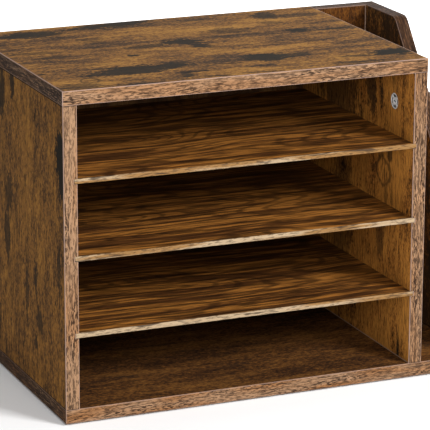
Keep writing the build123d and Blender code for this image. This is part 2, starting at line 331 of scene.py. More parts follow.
@dataclass(frozen=True)
class RusticPrint:
    """Melamine paper printed as weathered wood, on a chipboard core.

    Soft bands of golden and greyish brown carry fibres, fine dark streaks and pores. Blue-black
    smudges, cracks and ring knots lie over them. The low face may be lighter than the high one,
    by painted light, or darker, by painted shade, as its low-face setting says.
    """

    name: str
    lie: Lie
    seed: float
    smudges: tuple[Mark, ...] = ()
    cracks: tuple[Mark, ...] = ()
    knots: tuple[Mark, ...] = ()
    dark: Colour = paint(57, 43, 30)
    brown: Colour = paint(90, 63, 37)
    tan: Colour = paint(127, 86, 41)
    gold: Colour = paint(162, 116, 54)
    streak: Colour = paint(47, 34, 25)
    smudge: Colour = paint(38, 36, 31)
    crack: Colour = paint(27, 21, 18)
    chip_dark: Colour = paint(99, 72, 47)
    chip_pale: Colour = paint(146, 117, 81)
    low_face_painted_light: float = 0.0
    clouds: float = 1.0
    streaks: float = 0.6
    stray_smudges: float = 0.6
    lines: tuple[JointLine, ...] = ()
    paper: float = 0.05 * MM
    relief: float = 0.05 * MM
    sheen: float = 0.01

    def make(self, middle: float, half: float) -> bpy.types.Material:
        """Builds the material.

        Args:
            middle: Place of the board's middle through its thickness.
            half: Half of its thickness.

        Returns:
            The material.
        """
        graph = Graph(self.name)
        place = graph.object_place()
        along, across, through = (place[axis] for axis in self.lie.value)
        depth = through - middle
        board_across = across
        high_face = graph.math("GREATER_THAN", depth, 0.0)
        across = across + high_face * Face.HIGH.value

        # The grain wanders a few millimetres across its own line.
        drift = graph.noise(graph.join(along * 6.0, across * 9.0, self.seed), 1.0) - 0.5
        ripple = graph.noise(graph.join(along * 40.0, across * 70.0, self.seed + 3.0), 1.0) - 0.5
        wavy = across + drift * (16 * MM) + ripple * (2 * MM)

        def grain(per_metre_along: float, per_metre_across: float, layer: float, detail: float) -> Value:
            """Noise stretched along the grain."""
            where = graph.join(along * per_metre_along, wavy * per_metre_across, self.seed + layer)
            return graph.noise(where, detail, 0.64)

        cloud = grain(8.0, 30.0, 10.0, 2.0) - 0.5
        mottle = grain(28.0, 90.0, 60.0, 3.0) - 0.5
        fibre = grain(12.0, 130.0, 20.0, 5.0) - 0.5
        dapple = grain(170.0, 300.0, 80.0, 2.0) - 0.5
        fleck = grain(330.0, 760.0, 70.0, 2.0) - 0.5
        fine = grain(64.0, 640.0, 30.0, 3.0)
        pore = grain(150.0, 1400.0, 40.0, 1.0)

        # Clouds and fibres pick the brown, and fine streaks and pores darken it.
        broad = cloud * (0.42 * self.clouds) + mottle * (0.2 * self.clouds)
        # The low face is made lighter by painted light when the setting is above 0, and darker by painted
        # shade when below.
        tone_and_face_light = 0.5 + self.low_face_painted_light - high_face * self.low_face_painted_light
        tone = broad + fibre * 0.22 + dapple * 0.36 + fleck * 0.5 + tone_and_face_light
        stops = ((0.38, self.dark), (0.45, self.brown), (0.52, self.tan), (0.63, self.gold))
        colour = graph.ramp(tone, stops)
        colour = graph.mix(graph.smooth(fine, 0.46, 0.74) * self.streaks, colour, self.streak)
        colour = graph.mix(graph.smooth(pore, 0.58, 0.7) * 0.5, colour, self.streak)

        # Smudges that thin out into the grain at their ends.
        wisps = fibre * 1.5 + mottle * 1.5 + dapple * 1.2 + fleck * 0.5
        stray = grain(9.0, 44.0, 50.0, 2.0) - fibre * 0.35 - fleck * 0.12
        blot = graph.smooth(stray, 0.6, 0.74) * self.stray_smudges
        flat = graph.join(along, across)
        if self.smudges:
            blot = graph.math("MAXIMUM", blot, darkest(graph, self.smudges, flat, wisps, 0.5) * 0.94)
        if self.knots:
            knot = darkest(graph, self.knots, flat, mottle * 0.9 + fibre * 0.7 + dapple * 0.5, 0.95)
            rim = graph.smooth(graph.math("ABSOLUTE", knot - 0.45), 0.42, 0.06)
            heart = graph.smooth(knot + (fine - 0.5) * 1.2, 0.9, 1.2)
            blot = graph.math("MAXIMUM", blot, graph.math("MAXIMUM", rim, heart) * 0.68)
        stained = graph.mix(graph.smooth(fine, 0.4, 0.7) * 0.5, self.smudge, self.streak)
        colour = graph.mix(blot, colour, stained)
        if self.cracks:
            line = darkest(graph, self.cracks, graph.join(along, wavy), dapple * 1.6, 0.7)
            colour = graph.mix(line * 0.85, colour, self.crack)

        # Fine lines at the joints, the dark ones painted shade in the gaps, and chipboard on cut faces.
        for line in self.lines:
            away = graph.math("ABSOLUTE", (along if line.crosswise else board_across) - line.at)
            near = graph.smooth(away + dapple * (0.5 * MM), line.width, line.width * 0.4)
            colour = graph.mix(near * 0.85, colour, line.colour)
        chips = graph.noise(graph.join(place[0] * 420.0, place[1] * 420.0, place[2] * 420.0), 3.0)
        core = graph.mix(graph.smooth(chips, 0.38, 0.66), self.chip_dark, self.chip_pale)
        inside = graph.math("LESS_THAN", graph.math("ABSOLUTE", depth), half - self.paper)
        colour = graph.mix(inside, colour, core)
        roughness = 0.6 + (fine - 0.5) * 0.2 + blot * 0.06 + inside * 0.3
        height = 1.0 - (fine * 0.55 + graph.smooth(pore, 0.58, 0.72) * 0.45)
        return graph.finish(colour, roughness, height, self.relief, Specular_IOR_Level=self.sheen)


@dataclass(frozen=True)
class EdgingPrint:
    """Plastic edging printed with short dark flecks, with its paler core showing on the trimmed arrises.

    It reads the strip's own maps: places along and across it, and distances from its trimmed edges.
    """

    name: str
    seed: float
    arris: float
    light: Colour = paint(148, 115, 87)
    warm: Colour = paint(138, 95, 59)
    dark: Colour = paint(36, 25, 20)
    core: Colour = paint(162, 135, 121)
    core_share: float = 0.8
    gap_shade: Colour = paint(23, 16, 14)
    warm_share: float = 0.5
    butted: bool = False
    relief: float = 0.05 * MM
    sheen: float = 0.02

    def map_place(self, graph: Graph, name: str) -> list[Value]:
        """Both parts of one of the strip's maps."""
        return graph.split(graph.out(graph.node("ShaderNodeUVMap", {"uv_map": name})))[:2]

    def make(self) -> bpy.types.Material:
        """Builds the material.

        Returns:
            The material.
        """
        graph = Graph(self.name)
        along, across = self.map_place(graph, "Strip")
        sway = graph.noise(graph.join(along * 14.0, across * 30.0, self.seed), 1.0) - 0.5
        wavy = across + sway * (1.8 * MM)

        def grain(per_metre_along: float, per_metre_across: float, layer: float, detail: float) -> Value:
            """Noise stretched along the strip."""
            where = graph.join(along * per_metre_along, wavy * per_metre_across, self.seed + layer)
            return graph.noise(where, detail, 0.62)

        cloud = grain(9.0, 60.0, 5.0, 2.0)
        streak = grain(60.0, 600.0, 15.0, 4.0)
        fleck = grain(200.0, 960.0, 25.0, 2.0)
        colour = graph.mix(graph.smooth(cloud, 0.4, 0.6) * self.warm_share, self.light, self.warm)
        # Painted shade from the strip's Shade map darkens its streaks and flecks.
        shade = self.map_place(graph, "Shade")[0]
        colour = graph.mix(graph.smooth(streak + shade, 0.44, 0.72) * 0.8, colour, self.dark)
        patch = graph.smooth(grain(20.0, 130.0, 35.0, 2.0), 0.44, 0.64)
        dash = graph.smooth(fleck + shade * 0.6, 0.49, 0.56)
        colour = graph.mix(dash * (patch * 0.35 + 0.55), colour, self.dark)
        trim = self.map_place(graph, "Trim")
        # Butted strips get painted shade in the gap at their ends.
        if self.butted:
            colour = graph.mix(graph.smooth(trim[0], 0.7 * MM, 0.3 * MM) * 0.8, colour, self.gap_shade)
            edge = trim[1]
        else:
            edge = graph.math("MINIMUM", trim[0], trim[1])
        worn = graph.smooth(edge - (fleck - 0.5) * (0.6 * MM), self.arris * 1.15, self.arris * 0.6)
        colour = graph.mix(worn * self.core_share, colour, self.core)
        roughness = 0.56 + (streak - 0.5) * 0.25
        height = 1.0 - (streak * 0.6 + fleck * 0.4)
        return graph.finish(colour, roughness, height, self.relief, Specular_IOR_Level=self.sheen)


@dataclass(frozen=True)
class ThinShelfPrint:
    """Thin shelf: a strongly figured print on both faces and a pale wrapped front edge."""

    name: str
    seed: float
    front: float
    gold: Colour = paint(162, 106, 46)
    brown: Colour = paint(84, 51, 24)
    streak: Colour = paint(35, 20, 10)
    pale: Colour = paint(158, 136, 108)
    tan: Colour = paint(130, 96, 56)
    fleck: Colour = paint(48, 36, 28)
    figure: float = 150.0
    wrap: float = 1.3 * MM
    relief: float = 0.05 * MM
    sheen: float = 0.1

    def make(self) -> bpy.types.Material:
        """Builds the material.

        Returns:
            The material.
        """
        graph = Graph(self.name)
        x, y, z = graph.object_place()
        drift = graph.noise(graph.join(x * 5.0, y * 9.0, self.seed), 1.0) - 0.5
        wavy = y + drift * (30 * MM)
        band = graph.noise(graph.join(x * 8.0, wavy * 110.0, self.seed + 7.0), 5.0, 0.66)
        vein = graph.noise(graph.join(x * 15.0, wavy * 260.0, self.seed + 8.0), 3.0, 0.62)
        fine = graph.noise(graph.join(x * 34.0, wavy * 640.0, self.seed + 9.0), 3.0, 0.6)
        colour = graph.mix(graph.smooth(band, 0.42, 0.56), self.brown, self.gold)
        colour = graph.mix(graph.smooth(vein, 0.5, 0.6) * 0.7, colour, self.streak)

        # Arched figure: contour lines of a slow noise that is stretched along the grain.
        slow = graph.noise(graph.join(x * 3.0, y * 13.0, self.seed + 19.0), 1.0) + (vein - 0.5) * 0.02
        arch = graph.math("SINE", slow * self.figure)
        colour = graph.mix(graph.smooth(arch, 0.3, 0.95) * 0.55, colour, self.streak)
        colour = graph.mix(graph.smooth(fine, 0.44, 0.66) * 0.6, colour, self.streak)

        # The front edge: pale, with tan stretches and a few dark flecks.
        stretch = graph.noise(graph.join(x * 9.0, z * 120.0, self.seed + 11.0), 2.0)
        dash = graph.noise(graph.join(x * 150.0, z * 900.0, self.seed + 13.0), 2.0)
        smear = graph.noise(graph.join(x * 30.0, z * 260.0, self.seed + 17.0), 2.0)
        edge = graph.mix(graph.smooth(stretch, 0.44, 0.56), self.pale, self.tan)
        edge = graph.mix(graph.smooth(dash, 0.5, 0.62) * 0.6, edge, self.fleck)
        edge = graph.mix(graph.smooth(smear, 0.56, 0.68) * 0.8, edge, self.fleck)
        wrap_end = self.front + self.wrap
        wrapped = graph.smooth(y + (smear - 0.5) * (1.6 * MM), wrap_end + 0.4 * MM, wrap_end - 0.4 * MM)
        colour = graph.mix(wrapped, colour, edge)
        roughness = 0.48 + (fine - 0.5) * 0.2
        return graph.finish(colour, roughness, 1.0 - fine, self.relief, Specular_IOR_Level=self.sheen)


@dataclass(frozen=True)
class Hardboard:
    """Thin back: printed towards the front, with bare pressed fibre behind."""

    name: str
    middle: float
    brown: Colour = paint(69, 46, 28)
    tan: Colour = paint(116, 82, 47)
    streak: Colour = paint(42, 28, 20)
    felt_dark: Colour = paint(79, 54, 35)
    felt_pale: Colour = paint(118, 87, 60)
    relief: float = 0.05 * MM
    sheen: float = 0.1

    def make(self) -> bpy.types.Material:
        """Builds the material.

        Returns:
            The material.
        """
        graph = Graph(self.name)
        x, y, z = graph.object_place()
        band = graph.noise(graph.join(x * 60.0, y, z * 7.0), 3.0, 0.6)
        fine = graph.noise(graph.join(x * 600.0, y, z * 36.0), 3.0, 0.6)
        printed = graph.mix(graph.smooth(band, 0.38, 0.62), self.brown, self.tan)
        printed = graph.mix(graph.smooth(fine, 0.42, 0.7) * 0.65, printed, self.streak)
        felt = graph.noise(graph.join(x * 900.0, y * 900.0, z * 900.0), 3.0, 0.7)
        blotch = graph.noise(graph.join(x * 40.0, y * 40.0, z * 40.0), 3.0)
        fibres = graph.smooth(felt * 0.7 + blotch * 0.3, 0.3, 0.7)
        bare = graph.mix(fibres, self.felt_dark, self.felt_pale)
        behind = graph.math("GREATER_THAN", y, self.middle)
        colour = graph.mix(behind, printed, bare)
        roughness = 0.5 + behind * 0.3
        return graph.finish(colour, roughness, felt, self.relief, Specular_IOR_Level=self.sheen)


# ---------------------------------------------------------------------------- metal, wood, rubber
@dataclass(frozen=True)
class Metal:
    """Cast or turned metal, with handling marks and a faint grain.

    Faces are the places along an axis of the board faces that it is set in. Its pits, which lie
    under them, are dull and dark with painted shade.
    """

    name: str
    bright: Colour
    dull: Colour
    polish: float
    metallic: float = 1.0
    pit_shade: Colour = paint(38, 38, 38)
    axis: int = 0
    faces: tuple[float, ...] = ()
    shallow: float = 0.4 * MM
    deepest: float = 20 * MM
    relief: float = 0.02 * MM

    def make(self) -> bpy.types.Material:
        """Builds the material.

        Returns:
            The material.
        """
        graph = Graph(self.name)
        place = graph.object_place()
        x, y, z = place
        grain = graph.noise(graph.join(x * 2600.0, y * 2600.0, z * 2600.0), 2.0)
        smear = graph.noise(graph.join(x * 320.0, y * 320.0, z * 320.0), 3.0)
        colour = graph.mix(graph.smooth(smear, 0.4, 0.7), self.bright, self.dull)
        # Painted shade in the pits under the board faces.
        for face in self.faces:
            deep = graph.math("ABSOLUTE", place[self.axis] - face)
            near = graph.math("LESS_THAN", deep, self.deepest)
            pit_shaded = graph.smooth(deep, self.shallow, self.shallow * 2)
            colour = graph.mix(pit_shaded * near * 0.92, colour, self.pit_shade)
        roughness = self.polish + (smear - 0.5) * 0.24
        return graph.finish(colour, roughness, grain, self.relief, Metallic=self.metallic)


@dataclass(frozen=True)
class Beech:
    """Pale beech with short brown rays."""

    name: str = "beech_dowel"
    pale: Colour = paint(185, 157, 118)
    brown: Colour = paint(150, 114, 76)
    relief: float = 0.05 * MM

    def make(self) -> bpy.types.Material:
        """Builds the material.

        Returns:
            The material.
        """
        graph = Graph(self.name)
        x, y, z = graph.object_place()
        ray = graph.noise(graph.join(x * 900.0, y * 900.0, z * 180.0), 3.0)
        colour = graph.mix(graph.smooth(ray, 0.45, 0.7), self.pale, self.brown)
        return graph.finish(colour, 0.7, ray, self.relief)


@dataclass(frozen=True)
class PadRubber:
    """Soft dark rubber with a fine pebble."""

    name: str = "foot_pad_rubber"
    black: Colour = paint(27, 26, 26)
    dusty: Colour = paint(47, 45, 43)
    relief: float = 0.08 * MM

    def make(self) -> bpy.types.Material:
        """Builds the material.

        Returns:
            The material.
        """
        graph = Graph(self.name)
        x, y, z = graph.object_place()
        pebble = graph.noise(graph.join(x * 1800.0, y * 1800.0, z * 1800.0), 2.0)
        dust = graph.noise(graph.join(x * 160.0, y * 160.0, z * 160.0), 3.0)
        colour = graph.mix(graph.smooth(dust, 0.45, 0.75), self.black, self.dusty)
        return graph.finish(colour, 0.78 + (pebble - 0.5) * 0.2, pebble, self.relief)


# ---------------------------------------------------------------------------- surfaces
def surface(name: str, rings: np.ndarray, maps: Mapping[str, np.ndarray]) -> bpy.types.Object:
    """A solid skinned over closed rings of points, each ring joined to the next by quads.

    Point j of ring i is joined to its neighbours in the ring and to point j of ring i + 1, so the
    corner indices of every quad come from one shifted grid. End rings are filled by single faces.

    Args:
        name: The piece's name.
        rings: Points, rings by points by three.
        maps: For each of the piece's maps, the same points on it, rings by points by two.

    Returns:
        The new object, at the origin.
    """
    count, size = rings.shape[:2]
    index = np.arange(count * size).reshape(count, size)
    here, there = index[:-1], index[1:]
    quads = np.stack([here, np.roll(here, -1, 1), np.roll(there, -1, 1), there], -1).reshape(-1, 4)
    mesh = bpy.data.meshes.new(name)
    caps = [index[0, ::-1].tolist(), index[-1].tolist()]
    mesh.from_pydata(rings.reshape(-1, 3).tolist(), [], quads.tolist() + caps)
    corners = np.zeros(len(mesh.loops), dtype=np.int64)
    mesh.loops.foreach_get("vertex_index", corners)
    for map_name, places in maps.items():
        layer = mesh.uv_layers.new(name=map_name)
        layer.data.foreach_set("uv", places.reshape(-1, 2)[corners].astype(np.float32).ravel())
    made = bpy.data.objects.new(name, mesh)
    bpy.context.scene.collection.objects.link(made)
    return made


def united(name: str, parts: Sequence[bpy.types.Object], crease: float = 35.0) -> bpy.types.Object:
    """Joins parts into one piece, points its faces outwards and keeps its corners crisp.

    Args:
        name: The piece's name.
        parts: The objects to join, which are used up.
        crease: The angle in degrees past which a corner is sharp.

    Returns:
        The joined piece.
    """
    whole = bmesh.new()
    for part in parts:
        whole.from_mesh(part.data)
        bpy.data.objects.remove(part)
    bmesh.ops.recalc_face_normals(whole, faces=whole.faces)
    mesh = bpy.data.meshes.new(name)
    whole.to_mesh(mesh)
    whole.free()
    mesh.shade_smooth()
    mesh.set_sharp_from_angle(angle=math.radians(crease))
    made = bpy.data.objects.new(name, mesh)
    bpy.context.scene.collection.objects.link(made)
    return made


def rounded_line(
    corners: np.ndarray, radius: float, spacing: float, arc_steps: int = 9
) -> tuple[np.ndarray, np.ndarray]:
    """A flat line whose inner corners are arcs, with its left-hand normals.

    Each arc starts where it touches both straights, at radius times the tangent of half the turn
    from the corner. Its points turn evenly from one straight's direction to the other's.

    Args:
        corners: Points by two.
        radius: Radius of the arcs.
        spacing: Longest step along a straight.
        arc_steps: Steps that each arc is made of.

    Returns:
        Points and unit normals, each points by two.
    """
    steps = np.diff(corners, axis=0)
    ways = steps / np.linalg.norm(steps, axis=1, keepdims=True)
    sides = np.stack([-ways[:, 1], ways[:, 0]], 1)
    points, normals = [], []
    start = corners[0]
    for i, way in enumerate(ways):
        end = corners[i + 1]
        if i + 1 < len(ways):
            following = ways[i + 1]
            turn = math.atan2(way[0] * following[1] - way[1] * following[0], way @ following)
            trim = radius * math.tan(abs(turn) / 2)
            end = end - way * trim
        share = np.linspace(0, 1, max(2, math.ceil(np.linalg.norm(end - start) / spacing) + 1))
        points.append(start + share[:, None] * (end - start))
        normals.append(np.repeat(sides[i][None], len(share), 0))
        if i + 1 < len(ways):
            side = math.copysign(1, turn)
            centre = end + side * radius * sides[i]
            angles = np.linspace(0, turn, arc_steps + 1)[1:-1]
            cosine, sine = np.cos(angles)[:, None], np.sin(angles)[:, None]
            turned = sides[i] * cosine - way * sine
            points.append(centre - side * radius * turned)
            normals.append(turned)
            start = corners[i + 1] + following * trim
    return np.concatenate(points), np.concatenate(normals)


@dataclass(frozen=True)
class Strip:
    """One length of edging, carried along a line on a board's bare edge."""

    line: np.ndarray
    outward: np.ndarray
    across: np.ndarray
    board: float
    thickness: float
    arris: float
    low: np.ndarray | None = None
    high: np.ndarray | None = None
    shade: tuple[float, float] = (0.0, 0.0)
    crown: float = 0.02 * MM
    arris_steps: int = 4
    face_steps: int = 8

    def rings(self) -> tuple[np.ndarray, dict[str, np.ndarray]]:
        """Works out the strip's surface.

        The section is flat where it is glued. Quarter circles round its arrises, and between
        them its face swells by its crown, in half a sine wave, to its full thickness. Low and
        high give where the section starts and ends across the board at each point of the line,
        for notches.

        Returns:
            Rings of points, and the same points on three maps. "Strip" holds the places along and
            across it, "Trim" the distances from its nearer end and its nearer long edge, and
            "Shade" how much painted shade darkens the print there.
        """
        count = len(self.line)
        low = np.zeros(count) if self.low is None else self.low
        high = np.full(count, self.board) if self.high is None else self.high
        bend = np.linspace(0, math.pi / 2, self.arris_steps + 1)
        arc_in, arc_up = self.arris * (1 - np.cos(bend)), self.arris * np.sin(bend)
        rise = self.thickness - self.crown - self.arris
        share = np.linspace(0, 1, self.face_steps + 1)[1:-1]
        swell = self.thickness - self.crown * (1 - np.sin(math.pi * share))
        widths = (high - low)[:, None]
        face = low[:, None] + self.arris + share * (widths - 2 * self.arris)
        across = np.concatenate(
            [low[:, None], low[:, None] + arc_in, face, high[:, None] - arc_in[::-1], high[:, None]], 1
        )
        heights = np.concatenate([[0], rise + arc_up, swell, rise + arc_up[::-1], [0]])
        points = (
            self.line[:, None]
            + (across - self.board / 2)[..., None] * self.across
            + heights[None, :, None] * self.outward[:, None]
        )
        steps = np.linalg.norm(np.diff(self.line, axis=0), axis=1)
        travelled = np.concatenate([[0], np.cumsum(steps)])
        along = np.broadcast_to(travelled[:, None], across.shape)
        from_end = np.minimum(along, travelled[-1] - along)
        from_edge = np.minimum(across - low[:, None], high[:, None] - across)
        shade = self.shade[0] + (self.shade[1] - self.shade[0]) * along / travelled[-1]
        return points, {
            "Strip": np.stack([along, across], -1),
            "Trim": np.stack([from_end, from_edge], -1),
            "Shade": np.stack([shade, shade], -1),
        }


# ---------------------------------------------------------------------------- sub-assemblies
@dataclass
class Edging:
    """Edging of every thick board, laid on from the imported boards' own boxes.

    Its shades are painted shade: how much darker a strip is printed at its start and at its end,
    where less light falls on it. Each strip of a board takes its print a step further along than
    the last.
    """

    arris: float = 0.55 * MM
    spacing: float = 12 * MM
    groove_depth: float = 3.0 * MM
    groove_play: float = 0.15 * MM
    slope_rise: float = 73 * MM
    tall_top_length: float = 75 * MM
    bend_radius: float = 12 * MM
    print_step: float = 1.7
    front_shade: tuple[float, float] = (0.0, 0.045)
    side_shade: tuple[float, float] = (0.13, 0.13)
    bay_shade: tuple[float, float] = (0.14, 0.14)

    def stations(self, length: float) -> np.ndarray:
        """Places of the rings along a straight strip: evenly spaced, with one close to each end.

        Args:
            length: The strip's length.

        Returns:
            The places, from 0 to the length.
        """
        close = self.spacing / 4
        inner = np.linspace(close, length - close, max(2, round(length / self.spacing)))
        return np.concatenate([[0.0], inner, [length]])

    def straight(
        self,
        ends: tuple[Point, Point],
        outward: Point,
        across: Point,
        sizes: tuple[float, float],
        shade: tuple[float, float] = (0.0, 0.0),
    ) -> Strip:
        """A straight strip between two ends.

        Args:
            ends: Where it starts and ends, on the middle line of the board's bare edge.
            outward: The way that its face looks.
            across: The way across the board's thickness.
            sizes: The board's thickness and the strip's.
            shade: How much painted shade darkens its print at its start and at its end.

        Returns:
            The strip.
        """
        start, end = ends
        length = math.dist(start, end)
        share = self.stations(length) / length
        line = np.array(start) + share[:, None] * (np.array(end) - np.array(start))
        ways = np.repeat(np.array([outward], float), len(line), 0)
        return Strip(line, ways, np.array(across, float), sizes[0], sizes[1], self.arris, shade=shade)

    def build(self, node: str, strips: Sequence[Strip]) -> bpy.types.Object:
        """Makes one piece of a board's strips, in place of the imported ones.

        Args:
            node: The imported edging's node.
            strips: Its strips.

        Returns:
            The piece.
        """
        parts = []
        for i, strip in enumerate(strips):
            rings, maps = strip.rings()
            maps["Strip"] = maps["Strip"] + np.array([self.print_step * i, 0.0])
            parts.append(surface(f"{node}_strip_{i}", rings, maps))
        piece = united(f"{node}_strips", parts)
        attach(piece, "carcass")
        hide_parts(node)
        LOG.info("%s: %d strips, %d faces", piece.name, len(strips), len(piece.data.polygons))
        return piece

    def level_board(self, board: str) -> bpy.types.Object:
        """Strips round a board that lies level: full-length front and back, sides between them.

        Args:
            board: The board's node.

        Returns:
            The piece.
        """
        low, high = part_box(board)
        outer_low, outer_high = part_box(f"{board}_edging")
        middle = (low.z + high.z) / 2
        sizes = (high.z - low.z, low.y - outer_low.y)
        up = (0, 0, 1)
        front = ((outer_low.x, low.y, middle), (outer_high.x, low.y, middle))
        back = ((outer_high.x, high.y, middle), (outer_low.x, high.y, middle))
        left = ((low.x, high.y, middle), (low.x, low.y, middle))
        right = ((high.x, low.y, middle), (high.x, high.y, middle))
        strips = [
            # The front strip darkens towards its right end and the side strips are darker: painted shade.
            self.straight(front, (0, -1, 0), up, sizes, self.front_shade),
            self.straight(back, (0, 1, 0), up, sizes),
            self.straight(left, (-1, 0, 0), up, sizes, self.side_shade),
            self.straight(right, (1, 0, 0), up, sizes, self.side_shade),
        ]
        return self.build(f"{board}_edging", strips)

    def side_panel(self, board: str, grooves_high: bool) -> bpy.types.Object:
        """Front and back strips of a side panel, the front one notched where the shelves enter.

        Args:
            board: The panel's node.
            grooves_high: Whether the grooves are in the panel's face on the right.

        Returns:
            The piece.
        """
        low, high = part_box(board)
        sizes = (high.x - low.x, low.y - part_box(f"{board}_edging")[0].y)
        middle = (low.x + high.x) / 2
        ends = ((middle, high.y, low.z), (middle, high.y, high.z))
        back = self.straight(ends, (0, 1, 0), (1, 0, 0), sizes)
        edges = []
        for shelf in SHELVES:
            bottom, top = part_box(shelf)
            edges += [bottom.z - self.groove_play, top.z + self.groove_play]
        heights, cut = [low.z], [0.0]
        for i, edge in enumerate(edges):
            entering = i % 2 == 0
            steps = max(2, math.ceil((edge - heights[-1]) / self.spacing) + 1)
            before = np.linspace(heights[-1], edge, steps)
            heights += [*before[1:], edge]
            cut += [0.0 if entering else self.groove_depth] * (len(before) - 1)
            cut.append(self.groove_depth if entering else 0.0)
        rest = np.linspace(heights[-1], high.z, math.ceil((high.z - heights[-1]) / self.spacing) + 1)
        heights += list(rest[1:])
        cut += [0.0] * (len(rest) - 1)
        count = len(heights)
        line = np.stack([np.full(count, middle), np.full(count, low.y), np.array(heights)], 1)
        outward = np.repeat(np.array([[0.0, -1.0, 0.0]]), count, 0)
        notch = np.array(cut)
        # The right panel's front strip takes the darker end of the front's painted shade.
        shade = self.front_shade[0 if grooves_high else 1]
        front = Strip(
            line,
            outward,
            np.array([1.0, 0.0, 0.0]),
            sizes[0],
            sizes[1],
            self.arris,
            low=np.zeros(count) if grooves_high else notch,
            high=sizes[0] - notch if grooves_high else np.full(count, sizes[0]),
            shade=(shade, shade),
        )
        return self.build(f"{board}_edging", [front, back])

    def sloping_board(self, board: str, slope_end: float) -> bpy.types.Object:
        """One strip over the front, slope and top of a divider, and one down its back.

        Args:
            board: The divider's node.
            slope_end: Where the slope reaches the level top, in Y.

        Returns:
            The piece.
        """
        low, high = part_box(board)
        outer_low, outer_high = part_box(f"{board}_edging")
        middle = (low.x + high.x) / 2
        thickness = low.y - outer_low.y
        slope_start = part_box("base_board")[0].z + self.slope_rise
        corners = [
            (outer_low.y, low.z),
            (outer_low.y, slope_start),
            (slope_end, outer_high.z),
            (high.y, outer_high.z),
        ]
        points, normals = rounded_line(np.array(corners), self.bend_radius, self.spacing)
        bare = points - normals * thickness
        column = np.full(len(bare), middle)
        line = np.stack([column, bare[:, 0], bare[:, 1]], 1)
        outward = np.stack([column * 0, normals[:, 0], normals[:, 1]], 1)
        sizes = (high.x - low.x, thickness)
        across = np.array([1.0, 0.0, 0.0])
        wrap = Strip(line, outward, across, sizes[0], sizes[1], self.arris, shade=self.bay_shade)
        ends = ((middle, high.y, outer_high.z), (middle, high.y, low.z))
        back = self.straight(ends, (0, 1, 0), (1, 0, 0), sizes, self.bay_shade)
        return self.build(f"{board}_edging", [wrap, back])

    def bay_back(self, board: str) -> bpy.types.Object:
        """The strip along the top of a bay's back.

        Args:
            board: The back's node.

        Returns:
            The piece.
        """
        low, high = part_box(board)
        sizes = (high.y - low.y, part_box(f"{board}_edging")[1].z - high.z)
        middle = (low.y + high.y) / 2
        ends = ((low.x, middle, high.z), (high.x, middle, high.z))
        strip = self.straight(ends, (0, 0, 1), (0, 1, 0), sizes, self.bay_shade)
        return self.build(f"{board}_edging", [strip])

    def make_all(self) -> dict[str, bpy.types.Object]:
        """Builds every board's edging.

        Returns:
            The pieces, by board.
        """
        base_low, base_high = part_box("base_board_edging")
        tall_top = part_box("tall_divider_edging")[1].z
        low_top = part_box("low_end_panel_edging")[1].z
        slope_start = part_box("base_board")[0].z + self.slope_rise
        tall_end = base_high.y - self.tall_top_length
        steepness = (tall_end - base_low.y) / (tall_top - slope_start)
        low_end = base_low.y + (low_top - slope_start) * steepness
        return {
            "base_board": self.level_board("base_board"),
            "top_board": self.level_board("top_board"),
            "left_side_panel": self.side_panel("left_side_panel", True),
            "right_side_panel": self.side_panel("right_side_panel", False),
            "tall_divider": self.sloping_board("tall_divider", tall_end),
            "low_end_panel": self.sloping_board("low_end_panel", low_end),
            "tall_bay_back": self.bay_back("tall_bay_back"),
            "low_bay_back": self.bay_back("low_bay_back"),
        }


@dataclass
class ThinShelf:
    """A thin shelf with a softly rounded, slightly uneven front edge."""

    node: str
    seed: int
    nose: float = 0.9 * MM
    uneven: float = 0.12 * MM
    waves: tuple[float, ...] = (31.0, 97.0, 223.0)
    steps: int = 130
    nose_steps: int = 5
    seed_step: float = 13.7

    def build(self) -> bpy.types.Object:
        """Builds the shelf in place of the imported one.

        The section in Y and Z is a rectangle whose two front corners are quarter circles. It is
        carried along X, and each circle's radius wanders as the mean of some sines, one for each
        wave, which are given in waves per metre.

        Returns:
            The shelf.
        """
        low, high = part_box(self.node)
        x = np.linspace(low.x, high.x, self.steps)
        phase = np.random.default_rng(self.seed).uniform(0, 2 * math.pi, (2, len(self.waves)))
        waves = np.array(self.waves)[:, None]
        wander = np.sin(waves * 2 * math.pi * x + phase[:, :, None]).mean(1)
        radius = self.nose + self.uneven * wander
        bend = np.linspace(0, math.pi / 2, self.nose_steps + 1)
        front, top, bottom = low.y, high.z, low.z
        lower_y = front + radius[0][:, None] * (1 - np.sin(bend))
        lower_z = bottom + radius[0][:, None] * (1 - np.cos(bend))
        upper_y = front + radius[1][:, None] * (1 - np.cos(bend))
        upper_z = top - radius[1][:, None] * (1 - np.sin(bend))
        ends = np.ones((self.steps, 1))
        ys = np.concatenate([ends * high.y, lower_y, upper_y, ends * high.y], 1)
        zs = np.concatenate([ends * bottom, lower_z, upper_z, ends * top], 1)
        xs = np.broadcast_to(x[:, None], ys.shape)
        piece = united(f"{self.node}_board", [surface(self.node, np.stack([xs, ys, zs], -1), {})])
        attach(piece, self.node)
        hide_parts(self.node)
        finish = ThinShelfPrint(f"{self.node}_print", self.seed * self.seed_step, front)
        piece.data.materials.append(finish.make())
        LOG.info("%s: %d faces", piece.name, len(piece.data.polygons))
        return piece


